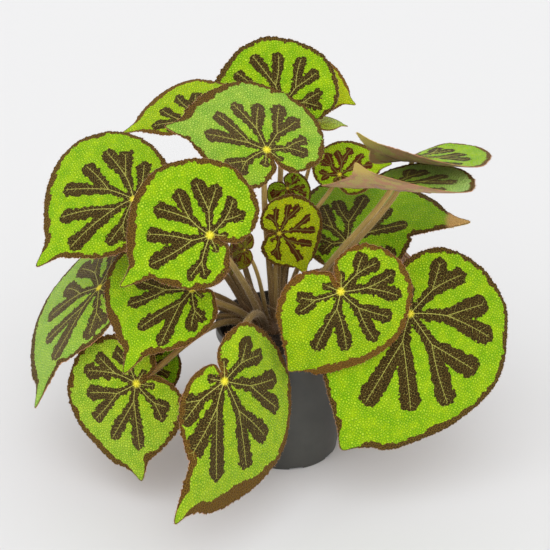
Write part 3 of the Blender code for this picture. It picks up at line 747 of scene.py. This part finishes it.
def scalloped_edge(leaf, rng):
    """Points along the edge, scalloped except at the tip and at the notch, flat, in millimetres."""
    curve = blade_outline(leaf)
    closed = np.vstack([curve, curve[:1]])
    run = np.r_[0, np.cumsum(np.linalg.norm(np.diff(closed, axis=0), axis=1))]
    count = int(run[-1] / (.7 if leaf["length"] > SMALL_BLADE else .5))
    s = np.arange(count) / count * run[-1]
    edge = np.stack([np.interp(s, run, closed[:, k]) for k in range(2)], 1)
    along = np.roll(edge, -1, 0) - np.roll(edge, 1, 0)
    out = np.stack([along[:, 1], -along[:, 0]], 1)
    out /= np.linalg.norm(out, axis=1)[:, None]
    if ((out * edge).sum(1) > 0).mean() < .5:
        out = -out
    size = min(1, leaf["length"] / FULL_GROWN)
    teeth = int(run[-1] / (SCALLOP * size))
    # Teeth differ in width, because the sine runs over a slightly uneven course.
    course = teeth * s / run[-1]
    course = course + .5 * np.sin(course * 1.7 * np.pi) / np.pi
    tooth = np.clip(course.astype(int), 0, teeth)
    strength = rng.uniform(.35, 1.0, teeth + 1)[tooth] * rng.uniform(.6, 1.1)
    wave = np.abs(np.sin(np.pi * course)) ** .6 * strength * SCALLOP_DEPTH * size
    wave += .2 * size * np.sin(2 * np.pi * s / 2.7)
    away_from_tip = np.hypot(edge[:, 0] - leaf["length"], edge[:, 1])
    fade = np.clip((away_from_tip - 5) / 14, .12, 1)
    notch = np.hypot(edge[:, 0], edge[:, 1]) < .30 * leaf["length"]
    wave = np.where(notch, wave * .3, wave)
    return edge + out * (wave * fade)[:, None], out


def bent(flat, leaf):
    """Places flat points of a blade, in millimetres, in the room: folded, drooping and domed."""
    upper, tip, big = leaf_axes(leaf)
    x, y = flat[:, 0] / leaf["length"], flat[:, 1] / leaf["length"]
    fold = np.radians(np.where(y < 0, leaf["fold"][0], leaf["fold"][1]))
    rise = (np.sqrt(y * y + .0036) - .06) * np.sin(fold)
    rise = rise - leaf["droop"] * np.clip(x, 0, None) ** 2 - leaf["dome"] * (x * x + y * y)
    shape = x[:, None] * tip + (y * np.cos(fold))[:, None] * big + rise[:, None] * upper
    return np.array(leaf["at"]) * MM + leaf["length"] * MM * shape


def nearest(points, starts, ends):
    """Distance from every point to every straight piece, and how far along the piece it lies."""
    way = ends - starts
    square = np.maximum((way ** 2).sum(1), 1e-9)
    t = np.clip(((points[:, None] - starts) * way).sum(2) / square, 0, 1)
    return np.linalg.norm(points[:, None] - starts - t[..., None] * way, axis=2), t


def to_edge(points, edge):
    """Distance of flat points from the edge, worked out in slices to spare memory."""
    coarse = edge[::2]
    starts, ends = coarse, np.roll(coarse, -1, 0)
    return np.concatenate([nearest(some, starts, ends)[0].min(1) for some in np.array_split(points, 12)])


def netted(edge, spacing):
    """An even triangle net inside the edge: its flat points, the edge's first, and its triangles."""
    low, high = edge.min(0), edge.max(0)
    across, up = np.arange(low[0], high[0], spacing), np.arange(low[1], high[1], spacing * .866)
    x, y = np.meshgrid(across, up)
    x[1::2] += spacing / 2
    inner = np.stack([x.ravel(), y.ravel()], 1)
    inner = inner[to_edge(inner, edge) > spacing * .5]
    count = len(edge)
    loop = [(i, (i + 1) % count) for i in range(count)]
    flat = [Vector(p) for p in np.vstack([edge, inner])]
    points, _, triangles, _, _, _ = delaunay_2d_cdt(flat, loop, [], 1, 1e-4)
    points, triangles = np.array([tuple(p) for p in points]), np.array([tuple(t) for t in triangles])
    used = np.zeros(len(points), bool)
    used[triangles.ravel()] = True
    used[:count] = True
    place = np.cumsum(used) - 1
    return points[used], place[triangles]


def held_in(points, edge, margin=1.5):
    """Draws flat points back towards the stalk where they would come too near to the edge."""
    rays = np.arctan2(edge[:, 1], edge[:, 0])
    order = np.argsort(rays)
    reach = np.hypot(edge[:, 0], edge[:, 1])[order]
    ways = np.arctan2(points[:, 1], points[:, 0])
    limit = np.interp(ways, rays[order], reach, period=2 * np.pi) - margin
    share = np.clip(limit / np.maximum(np.hypot(points[:, 0], points[:, 1]), 1e-6), 0, 1)
    return points * share[:, None]


def vein_lines(leaf, edge, rng):
    """Main veins as curved lines with their girth, and the straight pieces under the brown bands."""
    small, big, lobes = leaf["widths"]
    reach = leaf["reach"] or 1
    lines, bands = [], []

    def place(point, scale, turn):
        ray, far = np.radians(point[0]) + turn, point[1] * scale * leaf["length"]
        x, y = far * np.cos(ray), far * np.sin(ray)
        flat = np.array([(x * (lobes if x < 0 else 1), y * (small if y < 0 else big))])
        return held_in(flat, edge, .05 * leaf["length"])[0]

    def curve(start, stop, sway):
        t = np.linspace(0, 1, 12)[:, None]
        side = np.array((start[1] - stop[1], stop[0] - start[0]))
        return start + (stop - start) * t + side * sway * t * (1 - t) * 4

    for number, vein in enumerate(VEINS):
        turn = rng.uniform(-.04, .04) + np.radians(leaf["swing"]) * SWINGS[number]
        grow_by = rng.uniform(.95, 1.05)
        fork = place(vein[0], 1 + (reach - 1) * .5, turn)
        stout = STOUT[number] * leaf["bands"]
        lines.append((curve(np.zeros(2), fork, rng.uniform(-.04, .04)), 1.0, .72))
        bands.append((np.zeros(2), fork, .026, .050 * stout))
        for tip in vein[1:]:
            end = place(tip, reach * grow_by, turn)
            lines.append((curve(fork, end, rng.uniform(-.05, .05)), .72, .38))
            bands.append((fork, fork + (end - fork) * .88, .048 * stout, rng.uniform(.066, .082) * stout))
    return lines, bands


def side_veins(lines, leaf, rng):
    """Thin veins that leave the main ones to both sides, every few millimetres."""
    thin = []
    for line, _, _ in lines:
        run = np.r_[0, np.cumsum(np.linalg.norm(np.diff(line, axis=0), axis=1))]
        for s in np.arange(2.5, run[-1], 3.6):
            middle = np.array([np.interp(s, run, line[:, k]) for k in range(2)])
            way = np.array([np.interp(min(s + 1, run[-1]), run, line[:, k]) for k in range(2)]) - middle
            norm = np.linalg.norm(way)
            if norm < 1e-6:
                continue
            for hand in (-1, 1):
                turn = hand * rng.uniform(.75, 1.1)
                ahead = np.array((way[0] * np.cos(turn) - way[1] * np.sin(turn),
                                  way[0] * np.sin(turn) + way[1] * np.cos(turn)))
                stop = middle + ahead / norm * leaf["length"] * rng.uniform(.045, .07)
                thin.append((np.linspace(middle, stop, 3), .42, .22))
    return thin


def sheet(edge, out, leaf):
    """A thin closed blade inside the edge: flat points, their depth under the upper skin, the faces,
    how many faces and points the upper skin has, and every point's distance from the edge."""
    large, count, upper = leaf["length"] > SMALL_BLADE, len(edge), leaf_axes(leaf)[0]
    top_flat, top_faces = netted(edge, NET if large else SMALL_NET)
    low_flat, low_faces = netted(edge, UNDER_NET if large else SMALL_UNDER_NET)
    flat = np.vstack([top_flat, edge + out * .12, low_flat])
    tops, mids = len(top_flat), len(top_flat) + count
    drop = np.zeros(len(flat))
    drop[tops:mids] = .00028
    low_rim = to_edge(low_flat, edge)
    drop[mids:] = .00055 + .00025 * np.clip(low_rim / 4, 0, 1)

    def looks_up(net, face):
        corners = bent(net[face], leaf)
        return np.cross(corners[1] - corners[0], corners[2] - corners[0]) @ upper > 0

    turned_over = not looks_up(top_flat, top_faces[0])
    if turned_over:
        top_faces = top_faces[:, ::-1]
    if looks_up(low_flat, low_faces[0]):
        low_faces = low_faces[:, ::-1]
    faces = [tuple(f) for f in top_faces]
    for j in range(count):
        k = (j + 1) % count
        for a, b in ((0, tops), (tops, mids)):
            quad = (j + a, k + a, k + b, j + b)
            faces.append(quad if turned_over else quad[::-1])
    faces += [tuple(f + mids) for f in low_faces]
    rim = np.concatenate([to_edge(top_flat, edge), np.zeros(count), low_rim])
    return flat, drop, faces, len(top_faces), tops, rim


def leaf_mesh(leaf, number):
    """The blade, its vein lines as loose edges and its fringe as loose points, with all their fields."""
    rng = np.random.default_rng(100 + number)
    length, upper = leaf["length"], leaf_axes(leaf)[0]
    small = min(1, length / FULL_GROWN)
    edge, out = scalloped_edge(leaf, rng)
    count = len(edge)
    flat, drop, faces, upper_faces, tops, rim = sheet(edge, out, leaf)
    points = bent(flat, leaf) - upper * drop[:, None]

    lines, bands = vein_lines(leaf, edge, rng)
    starts, ends, first, last = (np.array(part) for part in zip(*bands))
    gap, t = nearest(flat, starts, ends)
    boss = np.linalg.norm(flat, axis=1)
    band = ((first * (1 - t) + last * t) * length - gap).max(1)
    band = np.maximum(band, .075 * length - boss)
    if not leaf["reach"]:
        band = np.full(len(flat), -5.0)
    pieces = [(line[i], line[i + 1]) for line, _, _ in lines for i in range(len(line) - 1)]
    far = [(line[-1], line[-1] + (line[-1] - line[-3]) * 12) for line, _, _ in lines]
    vein_gap, far_gap = (nearest(flat, *(np.array(end) for end in zip(*some)))[0].min(1)
                         for some in (pieces, far))
    relief = np.concatenate([np.ones(tops), np.zeros(count),
                             -.55 * np.clip(rim[tops + count:] / 2, 0, 1)])
    relief *= np.clip(vein_gap / 1.1, .15, 1) * np.clip((boss - 1) / 2, 0, 1)
    relief[:tops] *= np.clip(.35 + rim[:tops] / 1.5, 0, 1)
    ray = np.degrees(np.arctan2(flat[:, 1], flat[:, 0]))
    border = leaf["border"] * np.exp(-((ray - 35) / 28) ** 2)

    wires, wire_points, wire_flat, girths, kinds = [], [], [], [], []
    start = len(flat)
    thin_veins = side_veins(lines, leaf, rng) if length > SMALL_BLADE else []
    drawn = [(line, a, b, 1) for line, a, b in lines + thin_veins]
    drawn += [(line, a * 1.9, b * 1.9, 2) for line, a, b in lines]
    scale = min(1, length / 75)
    for line, thick, thin, kind in drawn:
        line = held_in(line, edge)
        girth = np.linspace(thick, thin, len(line)) * VEIN_GIRTH * MM * scale
        height = girth * -.1 + .00006 if kind == 1 else -BLADE_THICKNESS - girth * .25
        wire_points.append(bent(line, leaf) + upper * height[:, None])
        wire_flat.append(line)
        girths.append(girth)
        kinds.append(np.full(len(line), kind))
        wires += [(start + i, start + i + 1) for i in range(len(line) - 1)]
        start += len(line)

    # The fringe's hairs stand along the edge and point outwards and a little up or down.
    spots = np.sort(rng.uniform(0, count, int(count * .7 / FRINGE_STEP)))
    low, share = spots.astype(int) % count, (spots % 1)[:, None]
    root = edge[low] * (1 - share) + edge[(low + 1) % count] * share
    outward = bent(root + out[low], leaf) - bent(root, leaf)
    outward /= np.linalg.norm(outward, axis=1)[:, None]
    outward += rng.uniform(-.55, .55, (len(root), 3)) + upper * .15
    wire_points.append(bent(root - out[low] * .1, leaf) - upper * .0003)
    wire_flat.append(root)
    girths.append(np.full(len(root), .0016 * scale) * rng.uniform(.5, 1.2, len(root)))
    kinds.append(np.full(len(root), 3))

    mesh = bpy.data.meshes.new(leaf["name"])
    everything = np.vstack([points, *wire_points])
    all_flat = np.vstack([flat, *wire_flat])
    mesh.from_pydata(everything.tolist(), wires, [tuple(int(i) for i in f) for f in faces])
    mesh.polygons.foreach_set("use_smooth", [True] * len(faces))
    skin = np.ones(len(faces), np.int32)
    skin[:upper_faces] = 0
    mesh.polygons.foreach_set("material_index", skin)
    extra = len(everything) - len(flat)
    store(mesh, "part", np.concatenate([np.zeros(len(flat)), *kinds]), "INT")
    store(mesh, "girth", np.concatenate([np.zeros(len(flat)), *girths]))
    for name, values, filler in (("band", band, -5), ("rim", rim / small, 5), ("border", border, 0),
                                 ("vein", np.minimum(vein_gap, far_gap + .25), 0), ("relief", relief, 0)):
        store(mesh, name, np.concatenate([values, np.full(extra, filler)]))
    # Each blade reads its own part of the pebble pattern.
    place = all_flat / 10 + np.repeat((number * 5.3, 0), (len(flat), extra))[:, None]
    store(mesh, "place", np.column_stack([place, np.zeros(len(place))]), "FLOAT_VECTOR")
    store(mesh, "aim", np.vstack([np.zeros((len(everything) - len(root), 3)), outward]), "FLOAT_VECTOR")
    for name in ("tone_and_shade", "young", "warm", "dry"):
        store(mesh, name, np.full(len(everything), leaf[name]))
    boss = np.linalg.norm(all_flat, axis=1)
    store(mesh, "boss", boss / small)
    # The painted sheen of the hairs greys a blade more towards its rim.
    store(mesh, "painted_sheen", leaf["painted_sheen"] * np.clip(boss / length * 1.6, .3, 1))
    store(mesh, "tip_gap", np.hypot(all_flat[:, 0] - length, all_flat[:, 1]))
    return mesh


def pebble_cells(tree, place):
    """The distance to the seam between two pebbles, in pebble widths, and a random colour for each."""
    stray = node(tree, "ShaderNodeTexNoise", {"Vector": place, "Scale": 2.0, "Detail": 1})
    moved = node(tree, "ShaderNodeVectorMath", {0: stray.outputs["Color"], 1: (.14, .14, 0), 2: place},
                 operation="MULTIPLY_ADD").outputs["Vector"]
    inputs = {"Vector": moved, "Scale": 10 / PEBBLE, "Randomness": .85}
    seams = node(tree, "ShaderNodeTexVoronoi", inputs, voronoi_dimensions="2D", feature="DISTANCE_TO_EDGE")
    cells = node(tree, "ShaderNodeTexVoronoi", inputs, voronoi_dimensions="2D", feature="F1")
    return seams.outputs["Distance"], cells.outputs["Color"]


def maths(tree, kind, first, second=0.0, third=0.0):
    return node(tree, "ShaderNodeMath", {0: first, 1: second, 2: third}, operation=kind).outputs["Value"]


def smooth_step(tree, value, low, high):
    """Rises smoothly from 0 to 1 while the value goes from low to high."""
    return node(tree, "ShaderNodeMapRange", {"Value": value, "From Min": low, "From Max": high},
                interpolation_type="SMOOTHSTEP").outputs["Result"]


def times(tree, value, by):
    return maths(tree, "MULTIPLY", value, by)


def fading(tree, value, low, high):
    """Falls smoothly from 1 to 0 while the value goes from low to high."""
    return maths(tree, "SUBTRACT", 1.0, smooth_step(tree, value, low, high))


def layered(tree, colour, *layers):
    """Lays colours over the first one, each with its own share."""
    for share, over in layers:
        colour = mixed(tree, share, colour, over)
    return colour


# Markings that both skins of a blade share, as masks from 0 to 1.
marks = bpy.data.node_groups.new("leaf_markings", "ShaderNodeTree")
spot, rim = read(marks, "place", "Vector"), read(marks, "rim")
seam, chance = pebble_cells(marks, spot)
chances = node(marks, "ShaderNodeSeparateColor", {"Color": chance}).outputs
wide_noise, lobed, fine_noise = (noise(marks, spot, *look) for look in ((.9, 2), (2.0, 1), (5.5, 3)))
ragged = maths(marks, "ADD", maths(marks, "MULTIPLY_ADD", chances["Red"], 1.4, -.7),
               maths(marks, "MULTIPLY_ADD", fine_noise, 1.6, -.8))
band_edge = maths(marks, "MULTIPLY_ADD", lobed, 5.0, maths(marks, "ADD", ragged, -2.5))
in_band = smooth_step(marks, maths(marks, "ADD", read(marks, "band"), band_edge), -.25, .25)
far_from_tip = smooth_step(marks, read(marks, "tip_gap"), 4.0, 26.0)
margin = .2
for breadth in (maths(marks, "MULTIPLY_ADD", wide_noise, 10.0, -1.9), times(marks, ragged, .8),
                read(marks, "border")):
    margin = maths(marks, "MULTIPLY_ADD", breadth, far_from_tip, margin)
at_margin = smooth_step(marks, maths(marks, "SUBTRACT", margin, rim), -.25, .25)
masks = {
    "Pebble": smooth_step(marks, seam, .025, .20), "Brown": maths(marks, "MAXIMUM", in_band, at_margin),
    "Rim": at_margin, "Edge": fading(marks, rim, .1, 1.1), "Cloud": wide_noise, "Chance": chances["Green"],
    "Height": maths(marks, "MULTIPLY_ADD", fine_noise, .12, smooth_step(marks, seam, 0.0, .42)),
}
for label in masks:
    marks.interface.new_socket(label, in_out="OUTPUT", socket_type="NodeSocketFloat")
node(marks, "NodeGroupOutput", masks)


def use_marks(tree):
    return node(tree, "ShaderNodeGroup", node_tree=marks).outputs


def withered(tree, low, high):
    """Rises from 0 to 1 into the dry tip, on the leaves that have one."""
    dry = read(tree, "dry")
    into_tip = smooth_step(tree, maths(tree, "SUBTRACT", dry, read(tree, "tip_gap")), low, high)
    return times(tree, into_tip, smooth_step(tree, dry, 0.0, 1.0))


# The upper skin: glossy yellow-green pebbles with painted highlights on their crests and painted
# shade in their seams, chocolate bands with paler seams.
upper_skin, tree, shader = principled("leaf_upper_skin", (.30, .55, .005), .42)
marked = use_marks(tree)
tone_and_shade, painted_sheen, young, warm = (read(tree, name) for name in ("tone_and_shade", "painted_sheen", "young", "warm"))
childhood = maths(tree, "MINIMUM", young, 1.0)
# Painted highlight: a paler yellow on the crests of some pebbles, where the lamps glint.
painted_glint = times(tree, smooth_step(tree, marked["Height"], .60, 1.05), marked["Chance"])
green = mixed(tree, smooth_step(tree, marked["Cloud"], .3, .7), (.285, .505, .004), (.410, .605, .006))
# Painted shade: below 0 the green deepens on blades that lie in shadow.
green = layered(tree, green,
                (maths(tree, "MAXIMUM", tone_and_shade, 0.0), (.56, .60, .006)),
                (maths(tree, "MAXIMUM", times(tree, tone_and_shade, -1.0), 0.0), (.10, .36, .008)),
                (times(tree, marked["Chance"], .3), (.15, .36, .003)),
                (times(tree, painted_glint, .48), (.60, .76, .07)),
                (times(tree, painted_sheen, .8), (.40, .55, .19)))
# Painted shade: the seams between green pebbles are darkened, more in some patches of a blade and less on
# young blades.
painted_seam_shade = times(tree, maths(tree, "MULTIPLY_ADD", marked["Cloud"], -.9, 1.1),
                  maths(tree, "MULTIPLY_ADD", childhood, -.6, 1.0))
green = mixed(tree, marked["Pebble"], mixed(tree, painted_seam_shade, green, (.08, .27, .002)), green)
green = mixed(tree, maths(tree, "MULTIPLY_ADD", young, .9, -.75), green, (.16, .10, .004))
deep = mixed(tree, marked["Chance"], (.014, .0065, .0015), (.038, .020, .003))
# Painted sheen: the greying of the green above and of the bands here stands for the hairs' sheen at a
# grazing view, and also lightens a shaded blade.
deep = layered(tree, mixed(tree, marked["Pebble"], (.088, .055, .013), deep),
               (times(tree, young, .85), (.095, .012, .003)),
               (times(tree, painted_sheen, .5), (.22, .16, .09)))
rim_brown = mixed(tree, marked["Pebble"], (.15, .085, .016), (.046, .023, .005))
rim_brown = mixed(tree, times(tree, warm, .3), rim_brown, (.30, .13, .016))
edge_brown = mixed(tree, warm, (.15, .085, .025), (.42, .15, .022))
near_vein = fading(tree, read(tree, "vein"), .1, .75)
star = times(tree, fading(tree, read(tree, "boss"), 1.5, 4.2),
             maths(tree, "MULTIPLY_ADD", childhood, -.5, 1.0))
skin = layered(tree, green,
               (marked["Brown"], mixed(tree, marked["Rim"], deep, rim_brown)),
               (times(tree, marked["Edge"], .75), edge_brown),
               (times(tree, near_vein, .5), (.24, .24, .03)),
               (times(tree, withered(tree, -3.0, 4.0), .9), (.64, .36, .14)),
               (star, (.74, .70, .03)))
feed(tree, shader, {
    "Base Color": skin, "Roughness": maths(tree, "MULTIPLY_ADD", marked["Brown"], .16, .34),
    "Normal": bump(tree, .9, .0008, marked["Height"]),
    "Specular IOR Level": .2, "Specular Tint": (1, .95, .4, 1),
    "Sheen Weight": .02, "Sheen Roughness": .35, "Sheen Tint": (.9, 1, .6, 1),
})

# The underside: pale green between a net of pinkish veins, browner under the bands and at the rim.
# Its colours are partly painted light, lighter than the blade's own, for light shining through the blade.
under_skin, tree, shader = principled("leaf_underside", (.30, .36, .09), .6)
marked = use_marks(tree)
flesh_with_painted_light = layered(tree, mixed(tree, marked["Pebble"], (.50, .22, .08), (.54, .50, .07)),
                (times(tree, marked["Brown"], .7), (.36, .13, .05)),
                (smooth_step(tree, marked["Cloud"], .42, .60), (.56, .24, .10)),
                (withered(tree, -8.0, 4.0), (.70, .50, .08)))
feed(tree, shader, {"Base Color": flesh_with_painted_light, "Normal": bump(tree, .7, .0006, marked["Height"], invert=True),
                    "Sheen Weight": .2})

VEIN_GREEN = (.42, .42, .07)
pale_vein, tree, shader = principled("pale_upper_vein", VEIN_GREEN, .5)
feed(tree, shader, {"Base Color": layered(
    tree, VEIN_GREEN, (maths(tree, "MINIMUM", read(tree, "young"), .85), (.15, .10, .02)),
    (fading(tree, read(tree, "boss"), 1.6, 4.5), (.84, .74, .03)))})
red_vein, tree, shader = principled("red_under_vein", (.27, .085, .04), .55)
feed(tree, shader, {"Sheen Weight": .5})
fringe = principled("fringe_hair", (.46, .25, .085), .5)[0]


def carried(tree, name, kind="FLOAT"):
    """A value that every point of the mesh carries."""
    return node(tree, "GeometryNodeInputNamedAttribute", {"Name": name},
                data_type=kind).outputs["Attribute"]


# One tree grows a leaf from its drawn mesh: it raises the pebbles, turns the vein lines into thin rods
# and sets a hair on each point of the fringe.
tree, sizes, result = growth_tree("leaf_growth", {"Pebble height": PEBBLE_HEIGHT, "Vein sides": 5,
                                                  "Hair radius": .00009})
part, girth = carried(tree, "part", "INT"), carried(tree, "girth")


def only_part(number):
    same = node(tree, "FunctionNodeCompare", {"A": part, "B": number}, data_type="INT", operation="EQUAL")
    return node(tree, "GeometryNodeSeparateGeometry",
                {"Geometry": sizes["Geometry"], "Selection": same.outputs["Result"]},
                domain="POINT").outputs["Selection"]


swell = smooth_step(tree, pebble_cells(tree, carried(tree, "place", "FLOAT_VECTOR"))[0], 0.0, .40)
lift = times(tree, times(tree, swell, carried(tree, "relief")), sizes["Pebble height"])
offset = node(tree, "ShaderNodeVectorMath", {0: node(tree, "GeometryNodeInputNormal").outputs["Normal"],
                                             "Scale": lift}, operation="SCALE")
raised = node(tree, "GeometryNodeSetPosition", {
    "Geometry": only_part(0), "Offset": offset.outputs["Vector"]})
grown = node(tree, "GeometryNodeJoinGeometry")
tree.links.new(raised.outputs["Geometry"], grown.inputs["Geometry"])
for number, stuff in ((1, pale_vein), (2, red_vein)):
    line = node(tree, "GeometryNodeMeshToCurve", {"Mesh": only_part(number)})
    ring = node(tree, "GeometryNodeCurvePrimitiveCircle", {
        "Resolution": sizes["Vein sides"], "Radius": 1.0})
    rod = node(tree, "GeometryNodeCurveToMesh", {
        "Curve": line.outputs["Curve"], "Profile Curve": ring.outputs["Curve"], "Scale": girth,
        "Fill Caps": True})
    rounded = node(tree, "GeometryNodeSetShadeSmooth", {"Geometry": rod.outputs["Mesh"]})
    tree.links.new(coated(tree, rounded.outputs["Geometry"], stuff), grown.inputs["Geometry"])
hair_size = node(tree, "ShaderNodeCombineXYZ", {"X": 1.0, "Y": 1.0, "Z": girth})
hairs = node(tree, "GeometryNodeInstanceOnPoints", {
    "Points": only_part(3), "Instance": thin_cone(tree, sizes["Hair radius"], 1.0),
    "Rotation": aimed(tree, carried(tree, "aim", "FLOAT_VECTOR")), "Scale": hair_size.outputs["Vector"]})
tree.links.new(coated(tree, hairs.outputs["Instances"], fringe), grown.inputs["Geometry"])
real = node(tree, "GeometryNodeRealizeInstances", {"Geometry": grown.outputs["Geometry"]})
tree.links.new(real.outputs["Geometry"], result)

for number, leaf in enumerate(LEAVES):
    blade = put(leaf["name"] + "_blade", leaf_mesh(leaf, number))
    blade.data.materials.append(upper_skin)
    blade.data.materials.append(under_skin)
    grow(blade, tree, **{"Pebble height": PEBBLE_HEIGHT * min(1, leaf["length"] / 60)})
    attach(blade, "root")
    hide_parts(leaf["name"])
